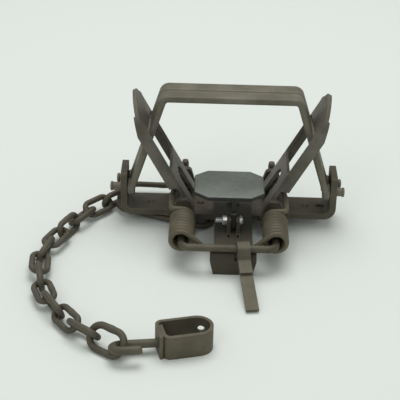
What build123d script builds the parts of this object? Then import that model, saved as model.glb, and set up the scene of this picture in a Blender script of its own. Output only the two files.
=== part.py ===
from build123d import *
from math import atan2, cos, degrees, radians, sin
import os

# Two-coil foothold trap, sprung, with its chain, swivel and strap clamp.
# +X to the right, +Y to the back, +Z up, in millimetres. It is worked out from
# the middle of the trap, on the ground, and written with its origin at the
# middle of the front foot's underside.

# Clearances
running = 0.10          # radial, a pin or rod in its hole
side_gap = 0.30         # between faces that pass each other

# Base bar: one strip, its ends bent up as the jaw posts
bar_thickness = 4.8
bar_width = 25.4
ground_gap = 7.7        # table to the underside of the bar
post_outer = 80.7       # middle of the trap to the outer face of a post
post_height = 41.7      # table to the top of a post
foot_bend = 9.0         # outer radius of the bend at the foot of a post
post_corner = 3.0
pad_half_length = 43.0  # the wide middle of the bar
pad_half_width = 17.7
pad_fillet = 4.6
lug_thickness = 4.4
lug_foot_width = 19.0
lug_top_width = 9.0
lug_height = 9.0        # above the rod
dimple_radius = 3.4
dimple_rise = 1.1
dimple_x = 58.5
tie_hole_x = 69.7
tie_hole_length = 7.0
tie_hole_width = 4.6

# Jaws: two nested bows of flat bar on round pins
pivot_height = 28.3
jaw_depth = 12.8        # along Y
jaw_thickness = 5.3     # in the plane of the bow
jaw_rise = 77.3         # pivot to the top of the bow
jaw_top_half = 52.0     # half the width over the top corners
jaw_corner = 7.6        # outer radius
jaw_gap = 0.6           # between the two closed jaws
jaw_pin_diameter = 6.2
front_pin_reach = (8.0, 6.0)    # past the left and the right post
rear_pin_reach = (4.0, 4.5)

# Spring rod: a U of round bar that carries the levers and the coils
rod_diameter = 5.4
rod_half_span = 33.5    # middle of the trap to a leg
rod_front = 79.0        # middle of the trap to the cross bar
rod_rear = 33.6         # middle of the trap to the turned-up ends
rod_end_height = 31.0
rod_bend = 6.0          # on the centre line
rod_seat = 0.05         # rod above the cross plate

# Cross plate: a strip over the middle of the bar, with a foot at each end
plate_thickness = 4.8
plate_width = 27.6
plate_middle = 3.5      # X of its centre line
plate_front = 82.0      # outer face of the front foot
plate_rear = 28.0       # outer face of the rear foot
plate_bend = 6.5        # outer radius
foot_width_top = 33.0
foot_width_bottom = 28.0
flare_start = 73.0
ear_thickness = 2.2
ear_gap = 4.4           # between the two pan ears
ear_length = 14.0
ear_radius = 5.0
ear_slit = 4.0          # open end of the slot that each ear is set in
tie_rivet_diameter = 6.0
tie_rivet_head = 10.0
tie_rivet_rise = 2.4
tie_rivet_y = 9.5

# Pan and its bolt
bolt_y = -48.0
bolt_height = 25.0
bolt_diameter = 4.0
bolt_head_diameter = 7.4
bolt_head_rise = 2.9
bolt_tail = 5.0         # thread past the nut
nut_across = 7.0
nut_thickness = 3.6
pan_size = 51.0
pan_corner = 9.5
pan_thickness = 3.0
pan_front_reach = 4.0   # pan edge in front of the bolt
pan_rise = 16.6         # bolt to the underside of the pan
pan_tilt = 5.6          # degrees, rear edge low
arm_width = 3.6
arm_length = 9.0
arm_drop = 6.2          # arm below the bolt
sear_depth = 2.2        # notch in the arm that the dog's tip sets in
sear_height = 2.6

# Levers: pressed channels with a window for the jaws
lever_angle = 61.0      # degrees above level, as sprung
lever_sheet = 2.6
lever_width = 44.8
lever_offset = 6.0      # rod centre to the inner face of the web
lever_flange = 8.2      # web face to the edge of a flange
lever_corner = 3.4      # outer radius between web and flange
lever_length = 92.5     # rod centre to the tip
lever_shoulder = 73.0   # where the sides start to draw in to the tip
lever_cheek = (85.0, 13.5)      # a point on the edge between shoulder and tip
lever_web_start = -4.5
window_start = 29.0
window_end = 66.0
window_width = 37.8
window_corner = 4.0
fork_width = 16.0       # slot between the two prongs at the rod
fork_end = 21.5
flange_start = 18.0
flange_run_out = 86.0
eye_radius = 7.0
curl_start = 76.0       # where the tip starts to curl inwards
curl_radius = 44.0

# Torsion springs
spring_wire = 3.9
spring_mean_radius = 7.5
spring_turns = 8.125
spring_pitch = 4.05
spring_rear = 39.6      # middle of the trap to the centre of the last wire
spring_height = 21.0
leg_out = 8.7           # rod centre to the leg, where it passes the lug
leg_turn = 20.5         # middle of the trap to where the leg turns up to the lever
leg_end = 11.0          # middle of the trap to the leg's end
leg_bend = 3.6
leg_seat = 15.0         # along the lever, where the leg's end presses on it
leg_gap = 0.1
tail_length = 13.0

# Dog: a flat strip closed round the rod
dog_width = 9.0
dog_thickness = 2.0
dog_eye = 0.7           # slack between the rod and the eye
dog_x = 10.0
dog_reach = 54.0        # rod centre to the tip
dog_return = 12.5       # the short end that lies on the long one
dog_skew = 7.5          # degrees, to the right
notch_side = 1.2        # room for the dog's eye in the edge of the cross plate
notch_drop = 2.6        # the notch goes this much lower in front, under the long leg

# Ring under the base, and the strap that holds it
ring_wire = 4.4
ring_x = -13.4          # its straight side
ring_height = 4.15      # its straight side above the table, over the origin's X axis
ring_slack = 0.7        # between the ring and the end of the first link
ring_front = -22.0
ring_rear = 35.5
ring_left_front = 0.0   # where the left side turns to the front
ring_bends = (7.0, 15.0, 9.0, 7.0)
ring_rise = 0.0227      # to the left, lifted by the chain
ring_lift = 0.06        # to the back
keeper_thickness = 1.5
keeper_width = 14.0
keeper_slack = 0.3
keeper_foot = 7.0
keeper_rivet_diameter = 3.2
keeper_rivet_head = 5.6
keeper_rivet_rise = 1.5

# Chain
link_wire = 4.4
link_pitch = 18.5       # from one contact to the next
link_width = 15.4
link_slack = 0.5
end_link_wire = 4.8     # the larger link that holds the swivel
end_link_pitch = 21.5
end_link_width = 20.5
chain_start = (-79.9, 19.2)     # where the first link meets the ring
# how each link lies, from the ring to the swivel: its heading in plan, its lean
# about its own length, in degrees, and how far its neighbours hold it up
link_places = (
    (227, 75, 0.0), (228, -37, 1.9), (241, 34, 1.6), (245, 106, 0.0), (248, -4, 4.8),
    (256, 69, 0.0), (274, -11, 4.45), (281, -84, 0.3), (290, 10, 4.15), (302, -68, 0.5),
    (307, 40, 1.7), (321, -50, 2.2), (325, 56, 0.0),
)

# Swivel and strap clamp
shank_diameter = 5.8
swivel_lean = -18.0     # of the eye, the shank on the low side
eye_length = 25.0
eye_half_width = 6.6
shank_length = 29.0     # eye to the clamp's wall
head_gap = 0.9          # clamp wall to the shank's head
shank_head = 10.0
shank_head_rise = 3.0
swivel_heading = 8.0
eye_slack = 1.5         # between the eye and the end of the last link
swivel_slack = 0.9      # radial, shank in the clamp
clamp_heading = 15.0
clamp_length = 37.0
clamp_width = 21.5
clamp_height = 17.0
clamp_strap = 2.2
clamp_lap_gap = 0.1
clamp_corner = 4.0
clamp_nail_hole = 4.6   # in the far wall

# Worked out from the above
bar_top = ground_gap + bar_thickness
plate_top = bar_top + plate_thickness
rod_radius = rod_diameter / 2
rod_height = plate_top + rod_seat + rod_radius
post_inner = post_outer - bar_thickness
pivot_y = (jaw_depth + jaw_gap) / 2
pin_radius = jaw_pin_diameter / 2
lug_inner = lever_width / 2 + side_gap + 0.1
lug_outer = lug_inner + lug_thickness
first_end = chain_start[0] - (link_wire + link_slack) / 2 * cos(radians(link_places[0][0]))
ring_left = first_end - (link_wire + ring_wire) / 2 - ring_slack
curl_run = lever_length + 1 - curl_start
curl_rise = curl_radius - (curl_radius**2 - curl_run**2) ** 0.5
ear_inner = ear_gap / 2
ear_outer = ear_inner + ear_thickness


def rod_between(start, end, radius):
    """A round bar from one point to another."""
    run = Vector(*end) - Vector(*start)
    return Plane(origin=start, z_dir=run) * Cylinder(
        radius, run.length, align=(Align.CENTER, Align.CENTER, Align.MIN)
    )


def strip(points, radii, thickness, width, plane):
    """A flat strip bent along a centre line in a plane, and as wide as given."""
    line = FilletPolyline(*points, radius=radii)
    return extrude(plane * trace(line, thickness), width / 2, both=True)


def round_bar(line, radius):
    """A round bar swept along a centre line."""
    return sweep(Plane(origin=line @ 0, z_dir=line % 0) * Circle(radius), path=line)


def mirrored(piece):
    """The same piece on the other side of the trap."""
    return mirror(piece, about=Plane.YZ)


def base_bar():
    half = bar_thickness / 2
    level = ground_gap + half
    side = post_outer - half
    bar = strip(
        [(-side, post_height), (-side, level), (side, level), (side, post_height)],
        foot_bend - half, bar_thickness, bar_width, Plane.XZ,
    )
    top_edges = bar.edges().filter_by(Axis.X).group_by(Axis.Z)[-1]
    bar = fillet(top_edges, post_corner)
    outline = Rectangle(2 * (post_outer - foot_bend), bar_width) + Rectangle(
        2 * pad_half_length, 2 * pad_half_width
    )
    inside = [
        v for v in outline.vertices()
        if abs(abs(v.X) - pad_half_length) < 0.01 and abs(abs(v.Y) - bar_width / 2) < 0.01
    ]
    outline = fillet(inside, pad_fillet)
    bar += Pos(0, 0, ground_gap) * extrude(outline, bar_thickness)
    lug = Plane.XZ * make_face(Polyline(
        (-lug_foot_width / 2, ground_gap), (-lug_foot_width / 2, bar_top),
        (-lug_top_width / 2, rod_height + lug_height),
        (lug_top_width / 2, rod_height + lug_height),
        (lug_foot_width / 2, bar_top), (lug_foot_width / 2, ground_gap), close=True,
    ))
    lug = extrude(lug, lug_thickness / 2, both=True)
    tops = lug.edges().filter_by(Axis.Y).group_by(Axis.Z)[-1]
    lug = fillet(tops, lug_top_width * 0.4)
    tab_run = lug_outer - pad_half_width + 1
    tab = Box(lug_foot_width, tab_run, bar_thickness)
    for x in (-rod_half_span, rod_half_span):
        for side_y in (-1, 1):
            bar += Pos(x, side_y * (lug_inner + lug_thickness / 2), 0) * lug
            bar += Pos(x, side_y * (lug_outer - tab_run / 2), level) * tab
        bar -= Pos(x, 0, rod_height) * Rot(90, 0, 0) * Cylinder(rod_radius + running, 3 * lug_outer)
    for y in (-pivot_y, pivot_y):
        bar -= Pos(0, y, pivot_height) * Rot(0, 90, 0) * Cylinder(pin_radius + running, 3 * post_outer)
    sphere = (dimple_radius**2 + dimple_rise**2) / (2 * dimple_rise)
    for x in (-dimple_x, dimple_x):
        dome = Sphere(sphere) & Pos(0, 0, sphere) * Box(2 * sphere, 2 * sphere, 2 * dimple_rise)
        bar += Pos(x, 0, bar_top + dimple_rise - sphere) * dome
    slot = extrude(SlotOverall(tie_hole_length, tie_hole_width), 3 * bar_thickness)
    bar -= Pos(tie_hole_x, 0, 0) * slot
    for y in (-tie_rivet_y, tie_rivet_y):
        bar -= Pos(plate_middle, y, 0) * Cylinder(tie_rivet_diameter / 2 + running, 4 * bar_top)
    for x in (-1, 1):
        bar -= Pos(ring_x + x * keeper_rivet_x(), 0, 0) * Cylinder(
            keeper_rivet_diameter / 2 + running, 4 * bar_top
        )
    return bar


def cross_plate():
    half = plate_thickness / 2
    level = plate_top - half
    plate = strip(
        [(-plate_front + half, 0), (-plate_front + half, level),
         (plate_rear - half, level), (plate_rear - half, 0)],
        plate_bend - half, plate_thickness, foot_width_top, Plane.YZ,
    )
    side = (foot_width_top - plate_width) / 2
    flare = make_face(Polyline(
        (plate_width / 2, -flare_start), (foot_width_top / 2, -flare_start - 1.5 * side),
        (foot_width_top, -flare_start - 1.5 * side), (foot_width_top, plate_front),
        (plate_width / 2, plate_front), close=True,
    ))
    trim = Pos(0, 0, -1) * extrude(flare, plate_top + 2)
    taper = Plane.XZ * make_face(Polyline(
        (foot_width_bottom / 2, -1), (foot_width_bottom / 2, 0),
        (foot_width_top / 2, plate_top - plate_bend), (foot_width_top, plate_top - plate_bend),
        (foot_width_top, -1), close=True,
    ))
    trim += Pos(0, -plate_front, 0) * extrude(taper, 2 * plate_bend, both=True)
    plate -= trim
    plate -= mirror(trim, about=Plane.YZ)
    ear = Plane.YZ * (
        Pos(bolt_y, bolt_height) * Circle(ear_radius)
        + make_face(Polyline(
            (bolt_y - ear_length / 2, plate_top - 1), (bolt_y - ear_radius, bolt_height),
            (bolt_y + ear_radius, bolt_height), (bolt_y + ear_length / 2, plate_top - 1),
            close=True,
        ))
    )
    ear = extrude(ear, ear_thickness / 2, both=True)
    slit = Box(ear_thickness, ear_slit, 3 * plate_thickness)
    for x in (-1, 1):
        middle = x * (ear_inner + ear_thickness / 2)
        plate += Pos(middle, 0, 0) * ear
        plate -= Pos(middle, bolt_y - ear_length / 2 - ear_slit / 2, plate_top) * slit
    plate -= Pos(0, bolt_y, bolt_height) * Rot(0, 90, 0) * Cylinder(
        bolt_diameter / 2 + running, 4 * ear_outer
    )
    for y in (-tie_rivet_y, tie_rivet_y):
        plate -= Pos(0, y, 0) * Cylinder(tie_rivet_diameter / 2 + running, 4 * plate_top)
    plate -= Pos(ring_x + keeper_rivet_x() - plate_middle, 0, 0) * Cylinder(
        keeper_rivet_diameter / 2 + running, 4 * plate_top
    )
    eye_swing = rod_radius + dog_eye + dog_thickness + side_gap
    eye_swing += dog_width / 2 * sin(radians(dog_skew))
    notch = Pos(0, -rod_front, rod_height) * Rot(0, 90, 0) * Cylinder(
        eye_swing, dog_width + 2 * notch_side
    )
    notch += Pos(0, -rod_front - eye_swing, rod_height) * Box(
        dog_width + 2 * notch_side, 2 * eye_swing, 2 * (eye_swing + notch_drop)
    )
    plate -= Pos(dog_x - plate_middle, 0, 0) * notch
    return Pos(plate_middle, 0, 0) * plate


def dome_head(diameter, rise):
    """A low round head on the plane z = 0."""
    radius = (diameter**2 / 4 + rise**2) / (2 * rise)
    ball = Pos(0, 0, rise - radius) * Sphere(radius)
    return ball & Pos(0, 0, rise / 2) * Box(diameter, diameter, rise)


def base_rivets():
    grip = plate_top - ground_gap
    rivets = []
    for y in (-tie_rivet_y, tie_rivet_y):
        rivet = Pos(0, 0, ground_gap + grip / 2) * Cylinder(tie_rivet_diameter / 2, grip)
        rivet += Pos(0, 0, plate_top) * dome_head(tie_rivet_head, tie_rivet_rise)
        rivet += Pos(0, 0, ground_gap) * Rot(180, 0, 0) * dome_head(tie_rivet_head, tie_rivet_rise)
        rivets.append(Pos(plate_middle, y, 0) * rivet)
    return rivets


def keeper_rivet_x():
    """Distance of a keeper rivet from the straight side of the ring."""
    return ring_wire / 2 + keeper_slack + keeper_thickness + keeper_foot / 2


def ring_keeper():
    half = keeper_thickness / 2
    wall = ring_wire / 2 + keeper_slack + half
    top = ground_gap - half
    end = wall + half + keeper_foot
    keeper = strip(
        [(-end, top), (-wall, top), (-wall, half), (wall, half), (wall, top), (end, top)],
        [half * 1.02, half * 2.2, half * 2.2, half * 1.02],
        keeper_thickness, keeper_width, Plane.XZ,
    )
    for x in (-keeper_rivet_x(), keeper_rivet_x()):
        keeper -= Pos(x, 0, top) * Cylinder(keeper_rivet_diameter / 2 + running, 3 * keeper_thickness)
    return Pos(ring_x, 0, 0) * keeper


def keeper_rivets():
    """The left one holds the keeper to the bar, the right one goes on through the cross plate."""
    low = ground_gap - keeper_thickness
    rivets = []
    for x, top in ((-keeper_rivet_x(), bar_top), (keeper_rivet_x(), plate_top)):
        rivet = Pos(0, 0, (low + top) / 2) * Cylinder(keeper_rivet_diameter / 2, top - low)
        rivet += Pos(0, 0, top) * dome_head(keeper_rivet_head, keeper_rivet_rise)
        rivet += Pos(0, 0, low) * Rot(180, 0, 0) * dome_head(keeper_rivet_head, keeper_rivet_rise)
        rivets.append(Pos(ring_x + x, 0, 0) * rivet)
    return rivets


def ring_point(x, y):
    """A point of the ring's tilted plane over a place on the table."""
    return (x, y, ring_height + ring_rise * (ring_x - x) + ring_lift * y)


def d_ring():
    corners = [
        ring_point(ring_x, ring_rear), ring_point(ring_left, ring_rear),
        ring_point(ring_left, ring_left_front), ring_point(ring_x, ring_front),
    ]
    line = FilletPolyline(*corners, radius=ring_bends, close=True)
    ring = Plane(origin=line @ 0, z_dir=line % 0) * Circle(ring_wire / 2)
    return sweep(ring, path=line)


def spring_rod():
    line = FilletPolyline(
        (-rod_half_span, rod_rear, rod_end_height), (-rod_half_span, rod_rear, rod_height),
        (-rod_half_span, -rod_front, rod_height), (rod_half_span, -rod_front, rod_height),
        (rod_half_span, rod_rear, rod_height), (rod_half_span, rod_rear, rod_end_height),
        radius=rod_bend,
    )
    return round_bar(line, rod_radius)


def jaw(side, reach):
    """One jaw: side is -1 for the front jaw and 1 for the rear one."""
    half = jaw_thickness / 2
    foot = post_inner - side_gap - half
    corner = jaw_top_half - half
    top = pivot_height + jaw_rise - half
    bow = strip(
        [(-foot, pivot_height), (-corner, top), (corner, top), (foot, pivot_height)],
        jaw_corner - half, jaw_thickness, jaw_depth, Plane.XZ,
    )
    for x, stick in zip((-1, 1), reach):
        boss = Cylinder(jaw_depth / 2, jaw_thickness)
        pin_length = post_outer + stick - foot
        pin = Cylinder(pin_radius, pin_length, align=(Align.CENTER, Align.CENTER, Align.MIN))
        pin = chamfer(pin.edges().group_by(Axis.Z)[-1], 0.6)
        bow += Pos(x * foot, 0, pivot_height) * Rot(0, 90, 0) * boss
        bow += Pos(x * foot, 0, pivot_height) * Rot(0, x * 90, 0) * pin
    bow -= Pos(0, 0, pivot_height - jaw_depth) * Box(2 * foot - jaw_thickness, 3 * jaw_depth, jaw_depth)
    return Pos(0, side * pivot_y, 0) * bow


def lever():
    """The right lever, made flat: X along it from the rod, Y across, Z to the inner face."""
    half = lever_sheet / 2
    side = lever_width / 2 - half
    face = lever_offset - half
    edge = lever_offset - lever_flange
    section = trace(FilletPolyline(
        (-side, -eye_radius), (-side, face), (side, face), (side, -eye_radius),
        radius=lever_corner - half,
    ), lever_sheet)
    run = Line((-eye_radius, 0, 0), (curl_start, 0, 0))
    run += TangentArc(run @ 1, (lever_length + 1, 0, curl_rise), tangent=(1, 0, 0))
    section = Plane(origin=run @ 0, x_dir=(0, 1, 0), z_dir=(1, 0, 0)) * section
    channel = sweep(section.face(), path=run)
    eye = Circle(eye_radius) + Pos(0, lever_offset / 2) * Rectangle(1.5 * eye_radius, lever_offset)
    web = lever_offset - lever_sheet
    flank = eye + make_face(Polyline(
        (lever_web_start, web), (flange_start - 2, web), (flange_start, edge),
        (window_end, edge), (flange_run_out, web + curl_rise / 5), (lever_length, web + curl_rise / 2),
        (lever_length, lever_offset + 2 * curl_rise), (lever_web_start, lever_offset + curl_rise),
        close=True,
    ))
    channel &= extrude(Plane.XZ * flank, lever_width, both=True)
    leaf = make_face(
        Polyline((lever_shoulder, -lever_width / 2), (-eye_radius, -lever_width / 2),
                 (-eye_radius, lever_width / 2), (lever_shoulder, lever_width / 2))
        + Spline((lever_shoulder, lever_width / 2), lever_cheek, (lever_length, 0),
                 tangents=((1, 0), (0.3, -1)))
        + Spline((lever_length, 0), (lever_cheek[0], -lever_cheek[1]),
                 (lever_shoulder, -lever_width / 2), tangents=((-0.3, -1), (-1, 0)))
    )
    channel &= Pos(0, 0, -2 * eye_radius) * extrude(leaf, 4 * eye_radius)
    window = Pos((window_start + window_end) / 2, 0) * Rectangle(
        window_end - window_start, window_width
    )
    window = fillet(window.vertices(), window_corner)
    fork = Pos(fork_end - fork_width / 2, 0) * Circle(fork_width / 2) + Pos(
        fork_end - fork_width / 2 - fork_end, 0
    ) * Rectangle(2 * fork_end, fork_width)
    channel -= Pos(0, 0, -2 * eye_radius) * extrude(window + fork, 4 * eye_radius)
    channel -= Rot(90, 0, 0) * Cylinder(rod_radius + running, 2 * lever_width)
    return channel


def placed_lever():
    """The right lever at its place and angle."""
    return Pos(rod_half_span, 0, rod_height) * Rot(0, -lever_angle, 0) * lever()


def spring():
    """The left spring: one wire, from its rear leg through the coil to its front tail."""
    coil = Helix(spring_pitch, spring_pitch * spring_turns, spring_mean_radius, lefthand=True)
    # the helix starts at the top, at the rear, and comes forward
    coil = Plane(origin=(-rod_half_span, -spring_rear, spring_height),
                 x_dir=(0, 0, 1), z_dir=(0, -1, 0)) * coil
    wire = spring_wire / 2
    rear, away = coil @ 0, coil % 0
    top = spring_height + spring_mean_radius
    seat = Vector(leg_seat, 0, lever_offset - lever_sheet - wire - leg_gap)
    seat = seat.rotate(Axis.Y, -lever_angle)
    leg = FilletPolyline(
        rear, rear - away * (leg_out / abs(away.X)), (-rod_half_span - leg_out, -leg_turn, top),
        (-rod_half_span - seat.X, -leg_end, rod_height + seat.Z), radius=leg_bend,
    )
    front, along = coil @ 1, coil % 1
    tail = Line(front, front + along * tail_length)
    return round_bar(Wire(leg.edges() + coil.edges() + tail.edges()), wire)


def pan():
    """The pan in its own place with its bolt at the origin, level."""
    front = -pan_front_reach
    plate = Pos(-plate_middle, front + pan_size / 2) * Rectangle(pan_size, pan_size)
    plate = Pos(0, 0, pan_rise) * extrude(chamfer(plate.vertices(), pan_corner), pan_thickness)
    plate = fillet(plate.edges().group_by(Axis.Z)[-1], 0.8)
    arm = make_face(Polyline(
        (front, pan_rise + 1), (front, -arm_drop + 1.5), (front + 1.5, -arm_drop),
        (front + arm_length - 1.5, -arm_drop), (front + arm_length, -arm_drop + 1.5),
        (front + arm_length, pan_rise * 0.55), (front + 2.2 * arm_length, pan_rise + 1),
        close=True,
    ))
    arm -= Pos(front + sear_depth / 2, pan_rise * 0.45) * Rectangle(sear_depth, sear_height)
    arm = extrude(Plane.YZ * arm, arm_width / 2, both=True)
    whole = plate + arm
    whole -= Rot(0, 90, 0) * Cylinder(bolt_diameter / 2 + running, 4 * arm_width)
    return Pos(plate_middle, bolt_y, bolt_height) * Rot(-pan_tilt, 0, 0) * whole


def pan_bolt():
    face = ear_outer
    shank = rod_between((-face - nut_thickness - bolt_tail, 0, 0), (face, 0, 0), bolt_diameter / 2)
    head = Pos(face, 0, 0) * Rot(0, 90, 0) * dome_head(bolt_head_diameter, bolt_head_rise)
    return Pos(plate_middle, bolt_y, bolt_height) * (shank + head)


def pan_nut():
    nut = extrude(RegularPolygon(nut_across / 2, 6, major_radius=False), nut_thickness)
    nut -= Cylinder(bolt_diameter / 2 + running / 2, 4 * nut_thickness)
    nut = Rot(0, -90, 0) * nut
    return Pos(plate_middle - ear_outer, bolt_y, bolt_height) * nut


def dog():
    """A strip that goes from its short end round the rod and out to the tip."""
    half = dog_thickness / 2
    bend = rod_radius + dog_eye + half
    fall = degrees(atan2(rod_height - half, dog_reach))
    eye = CenterArc((0, 0), bend, 90, -270)
    long_leg = Line((0, -bend), (-dog_reach, -bend))
    strap = trace(eye, dog_thickness) + trace(long_leg, dog_thickness)
    lap = -bend + dog_thickness + side_gap / 3
    short_leg = FilletPolyline(
        (0, bend), (-bend * 1.02, bend), (-bend * 2.1, lap), (-bend * 2.1 - dog_return, lap),
        radius=[half * 2.4, half * 2.4],
    )
    strap += trace(short_leg, dog_thickness)
    strap = extrude(Plane.YZ * strap, dog_width / 2, both=True)
    tilt = fall - degrees(atan2(bend, dog_reach))
    return Pos(dog_x, -rod_front, rod_height) * Rot(0, 0, dog_skew) * Rot(tilt, 0, 0) * strap


def link_sizes(number):
    """Wire, pitch and width of a link, counted from the ring."""
    if number == len(link_places):
        return end_link_wire, end_link_pitch, end_link_width
    return link_wire, link_pitch, link_width


def link_height(number):
    """Height of the middle of a link, whose lower side lies on the table or is held up."""
    heading, lean, lift = link_places[number - 1]
    wire, pitch, width = link_sizes(number)
    return (width - wire) / 2 * abs(sin(radians(lean))) + wire / 2 + lift


def chain_joints():
    """The points where the links meet, in plan."""
    x, y = chain_start
    joints = [(x, y)]
    for number, (heading, lean, lift) in enumerate(link_places, 1):
        wire, pitch, width = link_sizes(number)
        x += pitch * cos(radians(heading))
        y += pitch * sin(radians(heading))
        joints.append((x, y))
    return joints


def chain_link(wire, pitch, width):
    """One link along X, its middle at the origin, flat."""
    half = (pitch + wire + link_slack) / 2
    bend = (width - wire) / 2
    straight = half - bend
    line = Wire([
        Edge.make_line((-straight, -bend, 0), (straight, -bend, 0)),
        Edge.make_three_point_arc((straight, -bend, 0), (half, 0, 0), (straight, bend, 0)),
        Edge.make_line((straight, bend, 0), (-straight, bend, 0)),
        Edge.make_three_point_arc((-straight, bend, 0), (-half, 0, 0), (-straight, -bend, 0)),
    ])
    return sweep(Plane(origin=line @ 0, z_dir=line % 0) * Circle(wire / 2), path=line)


def placed_links():
    links = []
    joints = chain_joints()
    for number, (heading, lean, lift) in enumerate(link_places, 1):
        (x0, y0), (x1, y1) = joints[number - 1], joints[number]
        link = chain_link(*link_sizes(number))
        links.append(
            Pos((x0 + x1) / 2, (y0 + y1) / 2, link_height(number))
            * Rot(0, 0, heading) * Rot(lean, 0, 0) * link
        )
    return links


def swivel_frame():
    """The middle of the eye's end, behind the end of the last link, its shank along local X."""
    x, y = chain_joints()[-1]
    heading = radians(link_places[-1][0])
    past_joint = (end_link_wire + link_slack) / 2
    back = (end_link_wire + shank_diameter) / 2 + eye_slack
    place = Pos(x + past_joint * cos(heading), y + past_joint * sin(heading), link_height(len(link_places)))
    return place * Rot(0, 0, swivel_heading) * Rot(swivel_lean, 0, 0) * Pos(-back, 0, 0)


def swivel_eye():
    radius = shank_diameter / 2
    wall = shank_length + 2 * clamp_strap + clamp_lap_gap
    line = FilletPolyline(
        (eye_length - eye_half_width, -eye_half_width, 0), (0, -eye_half_width, 0),
        (0, eye_half_width, 0), (eye_length, eye_half_width, 0), radius=eye_half_width * 0.99,
    )
    eye = round_bar(line, radius)
    eye += rod_between((eye_length, eye_half_width, 0), (wall + head_gap, eye_half_width, 0), radius)
    head = Pos(wall + head_gap, eye_half_width, 0) * Rot(0, 90, 0) * Cylinder(
        shank_head / 2, shank_head_rise, align=(Align.CENTER, Align.CENTER, Align.MIN)
    )
    return swivel_frame() * (eye + head)


def strap_clamp():
    half = clamp_strap / 2
    far = clamp_length - clamp_width / 2
    side = clamp_width / 2 - half
    lap = clamp_strap + clamp_lap_gap
    outer = FilletPolyline(
        (half, -side + clamp_corner * 0.2), (half, side), (far, side), radius=clamp_corner
    )
    inner = FilletPolyline(
        (half + lap, side - lap - clamp_strap), (half + lap, -side), (far, -side),
        radius=clamp_corner,
    )
    end = CenterArc((far, 0), side, -90, 180)
    outline = trace(outer, clamp_strap) + trace(inner, clamp_strap) + trace(end, clamp_strap)
    strap = extrude(outline, clamp_height)
    start = swivel_frame() * Pos(shank_length, eye_half_width, 0)
    place = start.position
    strap -= Pos(0, 0, place.Z) * Rot(0, 90, 0) * Cylinder(
        shank_diameter / 2 + swivel_slack, 4 * lap
    )
    strap -= Pos(far + side * 0.5, 0, clamp_height / 2) * Rot(-90, 0, 0) * Cylinder(
        clamp_nail_hole / 2, clamp_width, align=(Align.CENTER, Align.CENTER, Align.MIN)
    )
    return Pos(place.X, place.Y, 0) * Rot(0, 0, clamp_heading) * strap


def all_parts():
    right_lever = placed_lever()
    left_spring = spring()
    parts = {
        "base_bar": base_bar(),
        "cross_plate": cross_plate(),
        "base_rivets": base_rivets(),
        "ring_keeper": ring_keeper(),
        "keeper_rivets": keeper_rivets(),
        "d_ring": d_ring(),
        "spring_rod": spring_rod(),
        "front_jaw": jaw(-1, front_pin_reach),
        "rear_jaw": jaw(1, rear_pin_reach),
        "right_lever": right_lever,
        "left_lever": mirrored(right_lever),
        "left_spring": left_spring,
        "right_spring": mirrored(left_spring),
        "pan": pan(),
        "pan_bolt": pan_bolt(),
        "pan_nut": pan_nut(),
        "dog": dog(),
        "swivel_eye": swivel_eye(),
        "strap_clamp": strap_clamp(),
    }
    for number, link in enumerate(placed_links(), 1):
        parts[f"chain_link_{number:02d}"] = link
    return parts


os.makedirs("parts", exist_ok=True)
to_origin = Pos(-plate_middle, plate_front - plate_thickness / 2, 0)
for name, shape in all_parts().items():
    if isinstance(shape, list):
        shape = Compound([to_origin * piece for piece in shape])
    else:
        shape = to_origin * shape
    export_step(shape, f"parts/{name}.step")
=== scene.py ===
from math import acos, cos, pi, radians, sin, tan

import bmesh
import bpy
from mathutils import Matrix, Vector


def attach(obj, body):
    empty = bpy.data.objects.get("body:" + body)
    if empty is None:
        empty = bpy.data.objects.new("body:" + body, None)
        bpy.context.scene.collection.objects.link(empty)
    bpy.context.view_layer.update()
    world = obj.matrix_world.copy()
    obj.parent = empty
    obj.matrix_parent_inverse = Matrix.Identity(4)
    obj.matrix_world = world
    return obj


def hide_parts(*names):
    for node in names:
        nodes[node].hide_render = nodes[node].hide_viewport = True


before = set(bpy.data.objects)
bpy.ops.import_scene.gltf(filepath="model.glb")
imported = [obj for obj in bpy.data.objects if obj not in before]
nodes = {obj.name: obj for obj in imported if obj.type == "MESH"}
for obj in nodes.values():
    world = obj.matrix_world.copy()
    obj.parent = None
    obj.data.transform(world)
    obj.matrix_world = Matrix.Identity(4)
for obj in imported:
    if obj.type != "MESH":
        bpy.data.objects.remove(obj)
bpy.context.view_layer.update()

# Base bar: one strip of hot-rolled steel, its ends bent up as the posts of the jaws.
# The whole trap is dyed in a bath and dipped in wax, so the metal is dark, brown in
# places where it has stood damp, and rubbed bright on its edges.
SMUT = (0.072, 0.064, 0.045)
BATH_STEEL = (0.112, 0.101, 0.072)
RUBBED_STEEL = (0.250, 0.225, 0.170)
BAR_BROWN = (0.092, 0.066, 0.042)


def shader(tree, kind, x, y, **values):
    node = tree.nodes.new(kind)
    node.location = (x, y)
    for name, value in values.items():
        if hasattr(node, name):
            setattr(node, name, value)
        else:
            node.inputs[name.replace("_", " ")].default_value = value
    return node


def ramp_between(tree, source, low, high, x, y):
    """A smooth mask that goes from 0 at low to 1 at high."""
    step = shader(tree, "ShaderNodeMapRange", x, y, interpolation_type="SMOOTHSTEP")
    step.inputs["From Min"].default_value = low
    step.inputs["From Max"].default_value = high
    tree.links.new(source, step.inputs["Value"])
    return step.outputs["Result"]


def blend_colours(tree, mask, first, second, x, y):
    mix = shader(tree, "ShaderNodeMix", x, y, data_type="RGBA")
    tree.links.new(mask, mix.inputs["Factor"])
    for index, value in ((6, first), (7, second)):
        if isinstance(value, tuple):
            mix.inputs[index].default_value = (*value, 1)
        else:
            tree.links.new(value, mix.inputs[index])
    return mix.outputs[2]


def sums(tree, operation, first, second, x, y):
    node = shader(tree, "ShaderNodeMath", x, y, operation=operation)
    for socket, value in zip(node.inputs, (first, second)):
        if isinstance(value, (int, float)):
            socket.default_value = value
        else:
            tree.links.new(value, socket)
    return node.outputs[0]


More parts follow.
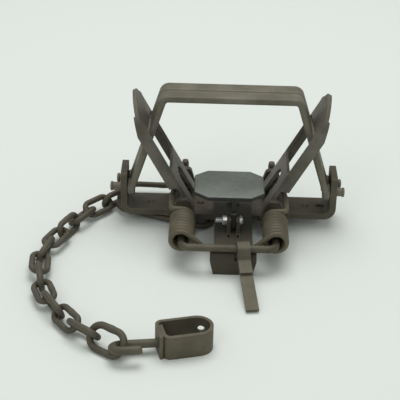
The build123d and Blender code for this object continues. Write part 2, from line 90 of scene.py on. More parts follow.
def waxed_steel_group():
    """Mottled dye, brown bloom, rolled grain and rubbed edges, over the object's own surface."""
    group = bpy.data.node_groups.new("waxed_steel", "ShaderNodeTree")
    face = group.interface
    for name, value in (("Steel", BATH_STEEL), ("Smut", SMUT), ("Brown", BAR_BROWN), ("Rubbed", RUBBED_STEEL)):
        face.new_socket(name, in_out="INPUT", socket_type="NodeSocketColor").default_value = (*value, 1)
    for name, value in (("Brown Share", 0.4), ("Edge Width", 0.0007), ("Grain", 1.0)):
        face.new_socket(name, in_out="INPUT", socket_type="NodeSocketFloat").default_value = value
    face.new_socket("Colour", in_out="OUTPUT", socket_type="NodeSocketColor")
    for name in ("Roughness", "Metal", "Height"):
        face.new_socket(name, in_out="OUTPUT", socket_type="NodeSocketFloat")
    face.new_socket("Soft Normal", in_out="OUTPUT", socket_type="NodeSocketVector")
    given = shader(group, "NodeGroupInput", -1500, 0)
    place = shader(group, "ShaderNodeTexCoord", -1500, -300).outputs["Object"]

    def cloud(scale, detail, roughness, y):
        noise = shader(group, "ShaderNodeTexNoise", -1200, y, Scale=scale, Detail=detail, Roughness=roughness)
        group.links.new(place, noise.inputs["Vector"])
        return noise.outputs["Fac"]

    patches = cloud(55, 5, 0.62, 300)
    bloom = cloud(34, 6, 0.7, 50)
    flecks = cloud(420, 4, 0.65, -200)
    grain = cloud(1500, 2, 0.5, -450)
    mottle = ramp_between(group, patches, 0.25, 0.75, -900, 300)
    steel = blend_colours(group, mottle, given.outputs["Smut"], given.outputs["Steel"], -600, 300)
    reach = sums(group, "SUBTRACT", 0.86, sums(group, "MULTIPLY", given.outputs["Brown Share"], 0.5, -1100, 600), -900, 600)
    shift = sums(group, "SUBTRACT", bloom, reach, -750, 100)
    brown = ramp_between(group, shift, -0.12, 0.10, -600, 50)
    brown = sums(group, "MULTIPLY", brown, ramp_between(group, flecks, 0.34, 0.60, -750, -150), -450, 0)
    colour = blend_colours(group, brown, steel, given.outputs["Brown"], -300, 200)
    rounded = shader(group, "ShaderNodeBevel", -1200, -700, samples=6)
    group.links.new(given.outputs["Edge Width"], rounded.inputs["Radius"])
    flat = shader(group, "ShaderNodeNewGeometry", -1200, -900)
    agree = shader(group, "ShaderNodeVectorMath", -1000, -750, operation="DOT_PRODUCT")
    group.links.new(rounded.outputs["Normal"], agree.inputs[0])
    group.links.new(flat.outputs["Normal"], agree.inputs[1])
    edge = ramp_between(group, sums(group, "SUBTRACT", 1.0, agree.outputs["Value"], -850, -750), 0.015, 0.2, -700, -700)
    worn = sums(group, "MULTIPLY", edge, ramp_between(group, patches, 0.30, 0.62, -700, -500), -500, -600)
    colour = blend_colours(group, worn, colour, given.outputs["Rubbed"], -100, 100)
    rough = sums(group, "MULTIPLY_ADD", flecks, 0.26, -300, -200)
    rough.node.inputs[2].default_value = 0.46
    rough = sums(group, "ADD", rough, sums(group, "MULTIPLY", brown, 0.10, -300, -350), -150, -250)
    metal = sums(group, "SUBTRACT", 0.35, sums(group, "MULTIPLY", brown, 0.25, -300, -450), -150, -450)
    height = sums(group, "MULTIPLY", grain, given.outputs["Grain"], -600, -950)
    height = sums(group, "ADD", height, sums(group, "MULTIPLY", flecks, 1.6, -600, -1100), -400, -1000)
    out = shader(group, "NodeGroupOutput", 150, 0)
    for name, value in (("Colour", colour), ("Roughness", rough), ("Metal", metal), ("Height", height),
                        ("Soft Normal", rounded.outputs["Normal"])):
        group.links.new(value, out.inputs[name])
    return group


waxed_steel = waxed_steel_group()


def steel_finish(name, steel=BATH_STEEL, smut=SMUT, brown=BAR_BROWN, rubbed=RUBBED_STEEL, share=0.4, edge=0.0007,
                 grain=1.0, depth=0.00006):
    """A steel material with its own dye, brown and wear."""
    finish = bpy.data.materials.new(name)
    finish.use_nodes = True
    tree = finish.node_tree
    body = tree.nodes["Principled BSDF"]
    body.inputs["Specular IOR Level"].default_value = 0.35
    coat = shader(tree, "ShaderNodeGroup", -500, 0, node_tree=waxed_steel)
    for socket, value in (("Steel", steel), ("Smut", smut), ("Brown", brown), ("Rubbed", rubbed)):
        coat.inputs[socket].default_value = (*value, 1)
    for socket, value in (("Brown Share", share), ("Edge Width", edge), ("Grain", grain)):
        coat.inputs[socket].default_value = value
    bump = shader(tree, "ShaderNodeBump", -250, -300, Strength=0.55, Distance=depth)
    tree.links.new(coat.outputs["Height"], bump.inputs["Height"])
    tree.links.new(coat.outputs["Soft Normal"], bump.inputs["Normal"])
    tree.links.new(coat.outputs["Colour"], body.inputs["Base Color"])
    tree.links.new(coat.outputs["Roughness"], body.inputs["Roughness"])
    tree.links.new(coat.outputs["Metal"], body.inputs["Metallic"])
    tree.links.new(bump.outputs["Normal"], body.inputs["Normal"])
    return finish


def dress(name, finish):
    """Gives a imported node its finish."""
    mesh = nodes[name].data
    mesh.materials.clear()
    mesh.materials.append(finish)


bar_finish = steel_finish("base_bar_steel", share=0.5)
dress("base_bar", bar_finish)

# Cross plate: a second strip over the middle of the bar, bent down to a foot at each
# end, with the two pan ears set in it. It is held down by two forged rivets.
# The plate's steel is set darker than the bar's, a painted shade for the pan's shadow over it.
plate_finish = steel_finish("cross_plate_steel", steel=(0.058, 0.052, 0.036), share=0.3)
dress("cross_plate", plate_finish)
rivet_finish = steel_finish("rivet_steel", steel=(0.092, 0.083, 0.058), share=0.3, edge=0.0004)
for group_of_rivets in ("base_rivets", "keeper_rivets"):
    dress(group_of_rivets, rivet_finish)

# Ring and keeper: a closed ring of round wire under the bar, butt-welded, that carries
# the chain, and the bent strap that lets it swing.
RING_WIRE = 0.0044
RING_SIDE = -0.0169
RING_LEFT = -0.086829
RING_REAR = 0.1151
RING_LOW = 0.00415
RING_ACROSS = -0.0227
RING_LIFT = 0.06
TRAP_MIDDLE = 0.0796


def bent_line(corners, radii, closed=False, step=0.0006):
    """Points along a line of rod or wire, with a round bend at each corner."""
    spots = [Vector(c) for c in corners]
    count = len(spots)
    line = []
    for index, spot in enumerate(spots):
        if not closed and index in (0, count - 1):
            line.append(spot)
            continue
        radius = radii[index] if closed else radii[index - 1]
        back = (spots[index - 1] - spot).normalized()
        on = (spots[(index + 1) % count] - spot).normalized()
        half = acos(max(-1, min(1, back.dot(on)))) / 2
        centre = spot + (back + on).normalized() * (radius / sin(half))
        first = spot + back * (radius / tan(half)) - centre
        last = spot + on * (radius / tan(half)) - centre
        turn = pi - 2 * half
        pieces = max(4, int(turn * radius / step))
        for k in range(pieces + 1):
            part = k / pieces
            line.append(centre + (first * sin((1 - part) * turn) + last * sin(part * turn)) / sin(turn))
    full = []
    for index, spot in enumerate(line):
        if not closed and index == len(line) - 1:
            full.append(spot)
            break
        ahead = line[(index + 1) % len(line)]
        run = (ahead - spot).length
        if run < 1e-7:
            continue
        pieces = max(1, int(run / (3 * step)))
        full += [spot.lerp(ahead, k / pieces) for k in range(pieces)]
    return full


def wire_mesh(name, line, radius, closed=False, sides=20, swell=None):
    """A round wire along a line, its ends a little rounded, thicker where swell says."""
    mesh = bmesh.new()
    count = len(line)
    heading = [((line[(i + 1) % count] if closed or i < count - 1 else line[i])
                - (line[i - 1] if closed or i > 0 else line[i])).normalized() for i in range(count)]
    side = heading[0].orthogonal().normalized()
    rings = []
    stations = [(line[i], heading[i], 1.0) for i in range(count)]
    if not closed:
        start, end = stations[0], stations[-1]
        stations = [(start[0], start[1], 0.82)] + [
            s for s in stations if min((s[0] - start[0]).length, (s[0] - end[0]).length) > radius * 0.18
        ] + [(end[0], end[1], 0.82)]
    for spot, ahead, share in stations:
        side = (side - ahead * side.dot(ahead)).normalized()
        across = ahead.cross(side)
        reach = radius * share * (1 + (swell(spot) if swell else 0))
        rings.append([mesh.verts.new(spot + (side * cos(a) + across * sin(a)) * reach)
                      for a in (2 * pi * k / sides for k in range(sides))])
    twist = 0
    if closed:
        gaps = [(rings[-1][0].co - v.co).length for v in rings[0]]
        twist = gaps.index(min(gaps))
    for index, ring in enumerate(rings if closed else rings[:-1]):
        last = closed and index == len(rings) - 1
        after = rings[(index + 1) % len(rings)]
        for k in range(sides):
            a, b = (k + twist, k + 1 + twist) if last else (k, k + 1)
            mesh.faces.new((ring[k], ring[(k + 1) % sides], after[b % sides], after[a % sides]))
    if not closed:
        mesh.faces.new(list(reversed(rings[0])))
        mesh.faces.new(rings[-1])
    bmesh.ops.recalc_face_normals(mesh, faces=mesh.faces)
    for face in mesh.faces:
        face.smooth = len(face.verts) == 4
    data = bpy.data.meshes.new(name)
    mesh.to_mesh(data)
    mesh.free()
    piece = bpy.data.objects.new(name, data)
    bpy.context.scene.collection.objects.link(piece)
    return piece


def ring_spot(x, y):
    return (x, y, RING_LOW + RING_ACROSS * (x - RING_SIDE) + RING_LIFT * (y - TRAP_MIDDLE))


ring_finish = steel_finish("ring_steel", steel=(0.100, 0.090, 0.062), share=0.45, edge=0.0003)
ring_line = bent_line(
    [ring_spot(RING_SIDE, RING_REAR), ring_spot(RING_LEFT, RING_REAR), ring_spot(RING_LEFT, TRAP_MIDDLE),
     ring_spot(RING_SIDE, TRAP_MIDDLE - 0.022)], (0.007, 0.015, 0.009, 0.007), closed=True,
)
weld_spot = Vector(ring_spot(-0.055, RING_REAR))
chain_ring = wire_mesh("chain_ring", ring_line, RING_WIRE / 2, closed=True,
                       swell=lambda spot: 0.10 * max(0, 1 - (spot - weld_spot).length / 0.0035))
chain_ring.data.materials.append(ring_finish)
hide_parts("d_ring")
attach(chain_ring, "d_ring")
dress("ring_keeper", steel_finish("keeper_steel", steel=(0.078, 0.070, 0.048), share=0.5, edge=0.0004))

# Spring rod: one round bar bent to a U, passed through the lugs of the base and turned
# up at its ends. The levers hang on it and the coils are wound round it.
ROD_X = 0.0335
LEFT_ROD = -ROD_X - 0.0035
RIGHT_ROD = ROD_X - 0.0035
ROD_HEIGHT = 0.02005
ROD_END_HEIGHT = 0.031
ROD_FRONT = 0.0006
ROD_REAR = 0.1132

rod_finish = steel_finish("rod_steel", steel=(0.135, 0.122, 0.087), share=0.3, edge=0.0004, grain=0.7)
rod_line = bent_line(
    [(LEFT_ROD, ROD_REAR, ROD_END_HEIGHT), (LEFT_ROD, ROD_REAR, ROD_HEIGHT), (LEFT_ROD, ROD_FRONT, ROD_HEIGHT),
     (RIGHT_ROD, ROD_FRONT, ROD_HEIGHT), (RIGHT_ROD, ROD_REAR, ROD_HEIGHT), (RIGHT_ROD, ROD_REAR, ROD_END_HEIGHT)],
    (0.006,) * 4,
)
bent_rod = wire_mesh("bent_rod", rod_line, 0.0027)
bent_rod.data.materials.append(rod_finish)
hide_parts("spring_rod")
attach(bent_rod, "base")

# Jaws: two bows of flat bar with rounded edges, nested and sprung shut, on round pins
# through the posts. Each pin's end is hammered over a little outside its post.
JAW_DEPTH = 0.0128
JAW_THICKNESS = 0.0053
JAW_EDGE = 0.0017
JAW_FOOT = 0.07295
JAW_CORNER = 0.04935
JAW_TOP = 0.10295
JAW_BEND = 0.00495
JAW_PIVOT = 0.0283
JAW_BESIDE = 0.0067
JAW_BOSS = 0.0064
JAW_PIN = 0.0031
PIN_HEAD = 0.0036
POST_OUTSIDE = 0.0807
PIN_ENDS = {"front_jaw": (0.0080, 0.0060), "rear_jaw": (0.0040, 0.0045)}   # past the posts
ACROSS_MIDDLE = -0.0035
SHARP_CORNER = radians(40)


def rounded_section(depth, thickness, edge):
    """The section of a flat bar with rounded edges."""
    spots = []
    for side, face, quarter in ((1, 1, 0), (-1, 1, 1), (-1, -1, 2), (1, -1, 3)):
        middle = Vector((side * (depth / 2 - edge), face * (thickness / 2 - edge)))
        turns = [(quarter + k / 5) * pi / 2 for k in range(6)]
        arc = [middle + Vector((cos(t), sin(t))) * edge for t in turns]
        before = Vector((sin(turns[0]), -cos(turns[0]))) * edge * 0.1
        after = Vector((-sin(turns[-1]), cos(turns[-1]))) * edge * 0.1
        spots += [arc[0] + before] + arc + [arc[-1] + after]
    return spots


def turned(mesh, profile, sides=32):
    """Turns a profile of (along X, radius) round the X axis."""
    rows = [[mesh.verts.new((x, r * cos(a), r * sin(a))) for a in (2 * pi * k / sides for k in range(sides))]
            for x, r in profile]
    for low, high in zip(rows, rows[1:]):
        for k in range(sides):
            m = (k + 1) % sides
            mesh.faces.new((low[k], low[m], high[m], high[k]))
    mesh.faces.new(rows[0])
    mesh.faces.new(rows[-1])


def new_piece(name, mesh, finish, smooth=False):
    bmesh.ops.recalc_face_normals(mesh, faces=mesh.faces)
    for face in mesh.faces:
        face.smooth = smooth
    data = bpy.data.meshes.new(name)
    mesh.to_mesh(data)
    mesh.free()
    if smooth:
        data.set_sharp_from_angle(angle=SHARP_CORNER)
    data.materials.append(finish)
    piece = bpy.data.objects.new(name, data)
    bpy.context.scene.collection.objects.link(piece)
    return piece


def bow_of_bar(name, ends, beside, finish):
    """One jaw: the bent bar, and at each foot its boss and pin."""
    mesh = bmesh.new()
    for side, reach in zip((-1, 1), ends):
        end = POST_OUTSIDE + reach
        turned(mesh, [(side * x, r) for x, r in (
            (JAW_FOOT - JAW_THICKNESS / 2, JAW_BOSS - 0.0007), (JAW_FOOT - JAW_THICKNESS / 2 + 0.0007, JAW_BOSS),
            (JAW_FOOT + JAW_THICKNESS / 2 - 0.0007, JAW_BOSS), (JAW_FOOT + JAW_THICKNESS / 2, JAW_BOSS - 0.0007),
            (JAW_FOOT + JAW_THICKNESS / 2, JAW_PIN), (end - 0.0022, JAW_PIN), (end - 0.0017, PIN_HEAD),
            (end - 0.0007, PIN_HEAD), (end - 0.0002, PIN_HEAD - 0.0005), (end, PIN_HEAD - 0.0014),
        )])
    line = bent_line([(-JAW_FOOT, 0, 0), (-JAW_CORNER, 0, JAW_TOP - JAW_PIVOT),
                      (JAW_CORNER, 0, JAW_TOP - JAW_PIVOT), (JAW_FOOT, 0, 0)], (JAW_BEND,) * 2)
    section = rounded_section(JAW_DEPTH, JAW_THICKNESS, JAW_EDGE)
    rings = []
    for index, spot in enumerate(line):
        ahead = (line[min(index + 1, len(line) - 1)] - line[max(index - 1, 0)]).normalized()
        out = Vector((-ahead.z, 0, ahead.x))
        rings.append([mesh.verts.new(spot + Vector((0, a, 0)) + out * b) for a, b in section])
    for low, high in zip(rings, rings[1:]):
        for k in range(len(section)):
            m = (k + 1) % len(section)
            mesh.faces.new((low[k], low[m], high[m], high[k]))
    mesh.faces.new(rings[0])
    mesh.faces.new(rings[-1])
    mesh.transform(Matrix.Translation((ACROSS_MIDDLE, TRAP_MIDDLE + beside, JAW_PIVOT)))
    return new_piece(name, mesh, finish, smooth=True)


jaw_finish = steel_finish("jaw_steel", smut=(0.125, 0.114, 0.084), steel=(0.200, 0.184, 0.142),
                          brown=(0.120, 0.090, 0.060), share=0.3, edge=0.0003)
for name, node, beside in (("front_bow", "front_jaw", -JAW_BESIDE), ("rear_bow", "rear_jaw", JAW_BESIDE)):
    bow = bow_of_bar(name, PIN_ENDS[node], beside, jaw_finish)
    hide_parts(node)
    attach(bow, node)

# Levers: pressed channels that turn on the rod and lift the jaws through their windows.
# The hollow of each tip has rusted red-brown.
lever_finish = steel_finish("lever_steel", smut=(0.110, 0.101, 0.078), steel=(0.190, 0.177, 0.146),
                             brown=(0.110, 0.072, 0.044), share=0.45)
for arm in ("left_lever", "right_lever"):
    dress(arm, lever_finish)

# Coil springs: eight turns of square-cut round wire about the rod on each side, the rear
# leg turned up under its lever and the front tail laid over the rod.
COIL_RADIUS = 0.0075
COIL_WIRE = 0.0039
COIL_PITCH = 0.00405
COIL_TURNS = 8.125
COIL_HEIGHT = 0.021
COIL_REAR = 0.0400
LEG_OUT = 0.0087
LEG_TURN = 0.0591
LEG_PRESS = (-0.043091, 0.0686, 0.033824)    # where the leg's end bears on the lever

coil_finish = steel_finish("coil_steel", smut=(0.105, 0.092, 0.062), steel=(0.165, 0.146, 0.100), brown=(0.125, 0.092, 0.058), share=0.3,
                           edge=0.00005, grain=0.7)
TAIL_LENGTH = 0.013


def coil_line():
    """The left wire: its rear leg, the turns and the front tail."""
    slope = COIL_PITCH / (2 * pi * COIL_RADIUS)
    top = COIL_HEIGHT + COIL_RADIUS
    line = bent_line(
        [LEG_PRESS, (LEFT_ROD - LEG_OUT, LEG_TURN, top),
         (LEFT_ROD - LEG_OUT, COIL_REAR + LEG_OUT * slope, top), (LEFT_ROD, COIL_REAR, top)],
        (0.0036, 0.0036),
    )[:-1]
    steps = int(COIL_TURNS * 40)
    for k in range(steps + 1):
        t = 2 * pi * COIL_TURNS * k / steps
        line.append(Vector((LEFT_ROD + COIL_RADIUS * sin(t), COIL_REAR - COIL_PITCH * t / (2 * pi),
                            COIL_HEIGHT + COIL_RADIUS * cos(t))))
    along = (line[-1] - line[-2]).normalized()
    return line + [line[-1] + along * TAIL_LENGTH * part for part in (0.3, 0.6, 0.9, 1.0)]


def other_side(line):
    """The same line on the right of the trap."""
    return [Vector((-0.007 - spot.x, spot.y, spot.z)) for spot in line]


left_line = coil_line()
for name, node, line in (("left_coil", "left_spring", left_line),
                         ("right_coil", "right_spring", other_side(left_line))):
    coil = wire_mesh(name, line, COIL_WIRE / 2, sides=16)
    coil.data.materials.append(coil_finish)
    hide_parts(node)
    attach(coil, "base")

# Pan: a moulded black plate with cut corners and a low rim, on an arm that turns on the
# bolt between the two ears. The panel inside the rim is left plain, with a fine grain.
PAN_HALF = 0.0255
PAN_CORNER = 0.0095
PAN_UNDER = 0.0166
PAN_MIDDLE = (-0.0035, 0.0215)
PAN_TILT = radians(-5.6)
BOLT_PLACE = Vector((0, 0.0316, 0.025))
ARM_HALF = 0.0018
PAN_LAYERS = (      # height over the underside, and how far in from the edge
    (0.0, 0.0006), (0.0005, 0.0), (0.0021, 0.0), (0.0027, 0.0003), (0.0030, 0.0010),
    (0.0030, 0.0019), (0.0028, 0.0023), (0.0027, 0.0030),
)
PAN_RIBS = (-0.0125, 0.0055, 0.0125)


def moulded_black():
    """Glass-filled plastic: near black, a moulded grain and fine scuffs; its upward faces are a paler grey, partly dust
    and partly a painted sheen.
    """
    finish = bpy.data.materials.new("pan_plastic")
    finish.use_nodes = True
    tree = finish.node_tree
    body = tree.nodes["Principled BSDF"]
    place = shader(tree, "ShaderNodeTexCoord", -1300, 0).outputs["Object"]
    clouds = {}
    for name, scale, detail in (("dust", 60, 5), ("grain", 2600, 2), ("scuff", 300, 6)):
        noise = shader(tree, "ShaderNodeTexNoise", -1050, 200 - 250 * len(clouds), Scale=scale, Detail=detail)
        tree.links.new(place, noise.inputs["Vector"])
        clouds[name] = noise.outputs["Fac"]
    facing = shader(tree, "ShaderNodeSeparateXYZ", -1050, 500)
    tree.links.new(shader(tree, "ShaderNodeNewGeometry", -1250, 500).outputs["Normal"], facing.inputs[0])
    # Upward faces get a paler grey: partly dust, partly a painted sheen where the top catches the overhead light.
    upward = ramp_between(tree, facing.outputs["Z"], 0.75, 0.98, -800, 450)
    dust_and_sheen = sums(tree, "MULTIPLY", upward, ramp_between(tree, clouds["dust"], -0.6, 0.75, -800, 200), -650, 300)
    colour = blend_colours(tree, dust_and_sheen, (0.010, 0.010, 0.010), (0.185, 0.203, 0.180), -450, 200)
    tree.links.new(colour, body.inputs["Base Color"])
    rough = sums(tree, "MULTIPLY_ADD", ramp_between(tree, clouds["scuff"], 0.4, 0.65, -800, -100), 0.16, -550, -100)
    rough.node.inputs[2].default_value = 0.42
    tree.links.new(rough, body.inputs["Roughness"])
    bump = shader(tree, "ShaderNodeBump", -300, -350, Strength=0.25, Distance=0.00005)
    tree.links.new(clouds["grain"], bump.inputs["Height"])
    rounded = shader(tree, "ShaderNodeBevel", -550, -450, Radius=0.0004, samples=6)
    tree.links.new(rounded.outputs["Normal"], bump.inputs["Normal"])
    tree.links.new(bump.outputs["Normal"], body.inputs["Normal"])
    return finish


def pan_outline(inset):
    half = PAN_HALF - inset
    cut = half - (PAN_CORNER - 0.586 * inset)
    spots = [(half, -cut), (half, cut), (cut, half), (-cut, half), (-half, cut), (-half, -cut), (-cut, -half), (cut, -half)]
    return [(x + PAN_MIDDLE[0], y + PAN_MIDDLE[1]) for x, y in spots]


def slab(mesh, outline, low, high, along):
    """A flat piece from an outline, between two planes of the axis it is as thick along."""
    def spot(a, b, t):
        return {"x": (t, a, b), "z": (a, b, t)}[along]
    first = [mesh.verts.new(spot(a, b, low)) for a, b in outline]
    last = [mesh.verts.new(spot(a, b, high)) for a, b in outline]
    mesh.faces.new(first)
    mesh.faces.new(last)
    for k in range(len(outline)):
        m = (k + 1) % len(outline)
        mesh.faces.new((first[k], first[m], last[m], last[k]))


pan_mesh = bmesh.new()
layers = [[pan_mesh.verts.new((x, y, PAN_UNDER + rise)) for x, y in pan_outline(inset)] for rise, inset in PAN_LAYERS]
for low, high in zip(layers, layers[1:]):
    for k in range(8):
        m = (k + 1) % 8
        pan_mesh.faces.new((low[k], low[m], high[m], high[k]))
pan_mesh.faces.new(layers[0])
pan_mesh.faces.new(layers[-1])
for x in PAN_RIBS:
    slab(pan_mesh, [(-0.0005 + PAN_MIDDLE[0] + x, 0.002), (0.0007 + PAN_MIDDLE[0] + x, 0.002),
                    (0.0007 + PAN_MIDDLE[0] + x, 0.041), (-0.0005 + PAN_MIDDLE[0] + x, 0.041)],
         PAN_UNDER - 0.0009, PAN_UNDER + 0.0002, "z")
arm_outline = [
    (-0.004, 0.0172), (-0.004, 0.00877), (-0.0018, 0.00877), (-0.0018, 0.00617), (-0.004, 0.00617), (-0.004, -0.0047),
    (-0.0025, -0.0062), (0.0035, -0.0062), (0.005, -0.0047), (0.005, 0.00913), (0.0158, 0.0172),
]
slab(pan_mesh, arm_outline, -ARM_HALF, ARM_HALF, "x")
pan_mesh.transform(Matrix.Translation(BOLT_PLACE) @ Matrix.Rotation(PAN_TILT, 4, "X"))
pan_finish = moulded_black()
moulded_pan = new_piece("moulded_pan", pan_mesh, pan_finish)
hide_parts("pan")
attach(moulded_pan, "pan")

# Pan bolt and nut: a small plated machine screw through both ears, its thread standing
# out past the nut on the left. The plating is bright, a little dull in the grooves.
EAR_FACE = 0.0044
SCREW_RADIUS = 0.0020
THREAD_PITCH = 0.0007
THREAD_DEPTH = 0.00022
THREAD_START = -0.0130
HEAD_RADIUS = 0.0037
HEAD_RISE = 0.0029
NUT_FLATS = 0.0035
NUT_THICKNESS = 0.0036


def zinc_finish():
    finish = bpy.data.materials.new("bright_zinc")
    finish.use_nodes = True
    tree = finish.node_tree
    body = tree.nodes["Principled BSDF"]
    body.inputs["Metallic"].default_value = 0.95
    place = shader(tree, "ShaderNodeTexCoord", -1100, 0).outputs["Object"]
    spangle = shader(tree, "ShaderNodeTexNoise", -900, 0, Scale=900, Detail=4)
    tree.links.new(place, spangle.inputs["Vector"])
    mask = ramp_between(tree, spangle.outputs["Fac"], 0.35, 0.7, -700, 0)
    tree.links.new(blend_colours(tree, mask, (0.52, 0.53, 0.52), (0.82, 0.83, 0.81), -400, 100), body.inputs["Base Color"])
    rough = sums(tree, "MULTIPLY_ADD", mask, -0.14, -400, -150)
    rough.node.inputs[2].default_value = 0.42
    tree.links.new(rough, body.inputs["Roughness"])
    return finish


def threaded(mesh, start, end, radius, sides=24):
    """A screw thread along X: each row of points is a little lower at the groove."""
    rows = []
    count = int((end - start) / THREAD_PITCH * 8)
    for row in range(count + 1):
        x = start + (end - start) * row / count
        spots = []
        for k in range(sides):
            turn = (x / THREAD_PITCH + k / sides) % 1
            fall = min(1, (x - start) / THREAD_PITCH)
            r = radius - THREAD_DEPTH * (2 * abs(turn - 0.5)) - 0.0003 * (1 - fall)
            a = 2 * pi * k / sides
            spots.append(mesh.verts.new((x, r * cos(a), r * sin(a))))
        rows.append(spots)
    for low, high in zip(rows, rows[1:]):
        for k in range(sides):
            m = (k + 1) % sides
            mesh.faces.new((low[k], low[m], high[m], high[k]))
    mesh.faces.new(rows[0])
    mesh.faces.new(rows[-1])


zinc = zinc_finish()
screw = bmesh.new()
threaded(screw, THREAD_START, -EAR_FACE + 0.0004, SCREW_RADIUS)
turned(screw, [(-EAR_FACE, SCREW_RADIUS), (EAR_FACE, SCREW_RADIUS)])
turned(screw, [(EAR_FACE, HEAD_RADIUS)] + [
    (EAR_FACE + HEAD_RISE * sin(t), HEAD_RADIUS * cos(t) ** 0.8) for t in (0.25, 0.5, 0.75, 1.0, 1.2, 1.35, 1.5)
])
screw.transform(Matrix.Translation(BOLT_PLACE))
pan_screw = new_piece("pan_screw", screw, zinc, smooth=True)
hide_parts("pan_bolt")
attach(pan_screw, "base")

nut = bmesh.new()
nut_rows = []
for x, reach, round_off in ((0, 0.93, 1), (0.0004, 1.0, 0), (NUT_THICKNESS - 0.0004, 1.0, 0), (NUT_THICKNESS, 0.93, 1)):
    spots = []
    for k in range(48):
        a = 2 * pi * k / 48
        flat = NUT_FLATS / cos((a + pi / 6) % (pi / 3) - pi / 6)
        r = min(flat, NUT_FLATS * 1.09) if not round_off else min(flat, NUT_FLATS * 1.02) * reach
        spots.append(nut.verts.new((-EAR_FACE - x, r * cos(a), r * sin(a))))
    nut_rows.append(spots)
hole_rows = [[nut.verts.new((-EAR_FACE - x, (SCREW_RADIUS + 0.00005) * cos(2 * pi * k / 48),
                             (SCREW_RADIUS + 0.00005) * sin(2 * pi * k / 48))) for k in range(48)]
             for x in (0, NUT_THICKNESS)]
for low, high in list(zip(nut_rows, nut_rows[1:])) + [(hole_rows[0], nut_rows[0]), (nut_rows[-1], hole_rows[1]),
                                                     (hole_rows[1], hole_rows[0])]:
    for k in range(48):
        m = (k + 1) % 48
        nut.faces.new((low[k], low[m], high[m], high[k]))
nut.transform(Matrix.Translation(BOLT_PLACE))
hex_nut = new_piece("hex_nut", nut, zinc)
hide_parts("pan_nut")
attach(hex_nut, "base")

# Dog: a flat strip closed round the front of the rod, its long end lying on the ground.
# Its face is rubbed a little paler than the rest, where the jaw and the pan have worn it.
dress("dog", steel_finish("dog_steel", smut=(0.095, 0.086, 0.062), steel=(0.135, 0.122, 0.088), share=0.25, edge=0.0004,
                          depth=0.00005))

# Chain: links of round wire, bent and butt-welded on one side, each turned against the
# next. The last link is of heavier wire and wider, and holds the swivel.
LINK_WIRE, LINK_PITCH, LINK_WIDTH = 0.0044, 0.0185, 0.0154
END_WIRE, END_PITCH, END_WIDTH = 0.0048, 0.0215, 0.0205
LINK_SLACK = 0.0005
CHAIN_START = (-0.0834, 0.0988)
LINK_PLACES = (     # heading, lean, and how far it is held up by its neighbours
    (227, 75, 0.0), (228, -37, 1.9), (241, 34, 1.6), (245, 106, 0.0), (248, -4, 4.8),
    (256, 69, 0.0), (274, -11, 4.45), (281, -84, 0.3), (290, 10, 4.15), (302, -68, 0.5),
    (307, 40, 1.7), (321, -50, 2.2), (325, 56, 0.0),
)
link_finish = steel_finish("link_steel", smut=(0.085, 0.077, 0.056), steel=(0.128, 0.116, 0.084),
                            brown=(0.110, 0.080, 0.052), share=0.35,
                           edge=0.0003, grain=0.8)
meeting = Vector((*CHAIN_START, 0))
for number, (heading, lean, held_up) in enumerate(LINK_PLACES, 1):
    last_link = number == len(LINK_PLACES)
    wire, pitch, width = (END_WIRE, END_PITCH, END_WIDTH) if last_link else (LINK_WIRE, LINK_PITCH, LINK_WIDTH)
    ahead = Vector((cos(radians(heading)), sin(radians(heading)), 0))
    middle = meeting + ahead * (pitch / 2)
    bend = (width - wire) / 2
    middle.z = bend * abs(sin(radians(lean))) + wire / 2 + held_up / 1000
    lie = (Matrix.Translation(middle) @ Matrix.Rotation(radians(heading), 4, "Z")
           @ Matrix.Rotation(radians(lean), 4, "X"))
    straight = (pitch + wire + LINK_SLACK) / 2 - bend
    turns = [pi / 2 - pi * k / 18 for k in range(19)]
    loop = [Vector((straight + bend * cos(t), bend * sin(t), 0)) for t in turns]
    loop += [Vector((-straight * (k / 3 - 1), -bend, 0)) for k in (1, 2, 3, 4, 5)]
    loop += [Vector((-straight - bend * cos(t), -bend * sin(t), 0)) for t in turns]
    loop += [Vector((straight * (k / 3 - 1), bend, 0)) for k in (1, 2, 3, 4, 5)]
    weld = lie @ Vector((0, bend, 0))
    link = wire_mesh(f"welded_link_{number:02d}", [lie @ spot for spot in loop], wire / 2, closed=True, sides=16,
                     swell=lambda spot: 0.09 * max(0, 1 - (spot - weld).length / 0.003))
    link.data.materials.append(link_finish)
    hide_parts(f"chain_link_{number:02d}")
    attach(link, f"chain_link_{number:02d}")
    meeting += ahead * pitch

# Swivel: round bar bent to an eye, its shank passed through the end of the clamp and
# hammered over to a head inside it.
SWIVEL_PLACE = (-0.0770783, -0.107432, 0.00890794)
SWIVEL_HEADING = 8
SWIVEL_LEAN = -18
SHANK_WIRE = 0.0058
EYE_HALF = 0.0066
EYE_LENGTH = 0.025
SHANK_END = 0.0344
SHANK_HEAD = 0.005
SHANK_HEAD_RISE = 0.003

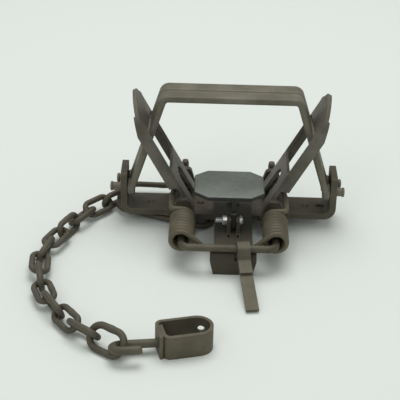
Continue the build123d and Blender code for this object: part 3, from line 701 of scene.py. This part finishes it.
swivel_finish = steel_finish("swivel_steel", smut=(0.090, 0.081, 0.058), steel=(0.138, 0.124, 0.088),
                               brown=(0.120, 0.088, 0.056), share=0.4,
                             edge=0.0003)
lie = (Matrix.Translation(SWIVEL_PLACE) @ Matrix.Rotation(radians(SWIVEL_HEADING), 4, "Z")
       @ Matrix.Rotation(radians(SWIVEL_LEAN), 4, "X"))
eye_line = bent_line([(EYE_LENGTH - EYE_HALF, -EYE_HALF, 0), (0, -EYE_HALF, 0), (0, EYE_HALF, 0),
                      (SHANK_END + 0.0005, EYE_HALF, 0)], (EYE_HALF * 0.99,) * 2)
swivel = wire_mesh("swivel_bar", [lie @ spot for spot in eye_line], SHANK_WIRE / 2)
swivel.data.materials.append(swivel_finish)
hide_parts("swivel_eye")
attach(swivel, "swivel_eye")
head = bmesh.new()
turned(head, [(SHANK_END, 0.0030), (SHANK_END + 0.0001, 0.0044), (SHANK_END + 0.0008, SHANK_HEAD),
              (SHANK_END + 0.0016, SHANK_HEAD * 0.98), (SHANK_END + 0.0024, SHANK_HEAD * 0.86),
              (SHANK_END + 0.0029, SHANK_HEAD * 0.6), (SHANK_END + SHANK_HEAD_RISE, SHANK_HEAD * 0.25)])
head.transform(lie @ Matrix.Translation((0, EYE_HALF, 0)))
swivel_head = new_piece("swivel_head", head, swivel_finish, smooth=True)
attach(swivel_head, "swivel_eye")

# Strap clamp: a flat strap bent into a long loop, its two ends lapped where the swivel
# passes through them. It is a little paler and browner than the trap.
dress("strap_clamp", steel_finish("clamp_steel", smut=(0.100, 0.088, 0.060), steel=(0.145, 0.129, 0.090),
                                  brown=(0.125, 0.092, 0.058), share=0.4,
                                  rubbed=(0.30, 0.27, 0.22)))

# Floor: a plain pale board, which keeps the trap's soft shadow.
FLOOR_PALE = (0.80, 0.835, 0.80)
floor_mesh = bmesh.new()
for x, y in ((-3, -3), (3, -3), (3, 3), (-3, 3)):
    floor_mesh.verts.new((x, y, 0))
floor_mesh.faces.new(floor_mesh.verts[:])
floor_finish = bpy.data.materials.new("pale_board")
floor_finish.use_nodes = True
floor_body = floor_finish.node_tree.nodes["Principled BSDF"]
floor_body.inputs["Base Color"].default_value = (*FLOOR_PALE, 1)
floor_body.inputs["Roughness"].default_value = 0.7
floor_body.inputs["Specular IOR Level"].default_value = 0.2
floor = new_piece("floor", floor_mesh, floor_finish)

# Light: one large soft lamp over the trap and a little behind it, a weaker one from
# the front left, and an even pale surround.
SURROUND = (0.90, 0.93, 0.90)
SURROUND_LIGHT = 0.50


def soft_lamp(name, place, aim, size, power):
    lamp = bpy.data.lights.new(name, "AREA")
    lamp.shape = "DISK"
    lamp.size = size
    lamp.energy = power
    stand = bpy.data.objects.new(name, lamp)
    stand.location = place
    stand.rotation_euler = (Vector(aim) - Vector(place)).to_track_quat("-Z", "Y").to_euler()
    bpy.context.scene.collection.objects.link(stand)


soft_lamp("top_lamp", (0.02, 0.42, 1.70), (-0.02, 0.05, 0.03), 1.3, 15.5)
soft_lamp("front_lamp", (-0.7, -1.3, 1.3), (-0.02, 0.05, 0.03), 1.0, 4)
world = bpy.data.worlds.new("surround")
bpy.context.scene.world = world
world.use_nodes = True
backdrop = world.node_tree.nodes["Background"]
backdrop.inputs["Color"].default_value = (*SURROUND, 1)
backdrop.inputs["Strength"].default_value = SURROUND_LIGHT

# Camera: at the photograph's height and side, a long lens with a slight roll.
AIM = Vector((-0.0247, 0.0480, 0.032))
DISTANCE = 0.9308
RISE = radians(29.0)
YAW = radians(0.23)
ROLL = radians(1.53)
SENSOR = 36
LENS = 1272.6 / 400 * SENSOR

back = Vector((sin(YAW) * cos(RISE), -cos(YAW) * cos(RISE), sin(RISE)))
level = Vector((cos(YAW), sin(YAW), 0))
up = back.cross(level)
right = level * cos(ROLL) + up * sin(ROLL)
up = up * cos(ROLL) - level * sin(ROLL)
lens = bpy.data.cameras.new("view")
lens.sensor_width = SENSOR
lens.lens = LENS
lens.clip_start = 0.01
camera = bpy.data.objects.new("view", lens)
turn = Matrix((right, up, back)).transposed()
camera.matrix_world = Matrix.Translation(AIM + back * DISTANCE) @ turn.to_4x4()
bpy.context.scene.collection.objects.link(camera)
bpy.context.scene.camera = camera
bpy.context.scene.view_settings.view_transform = "Standard"
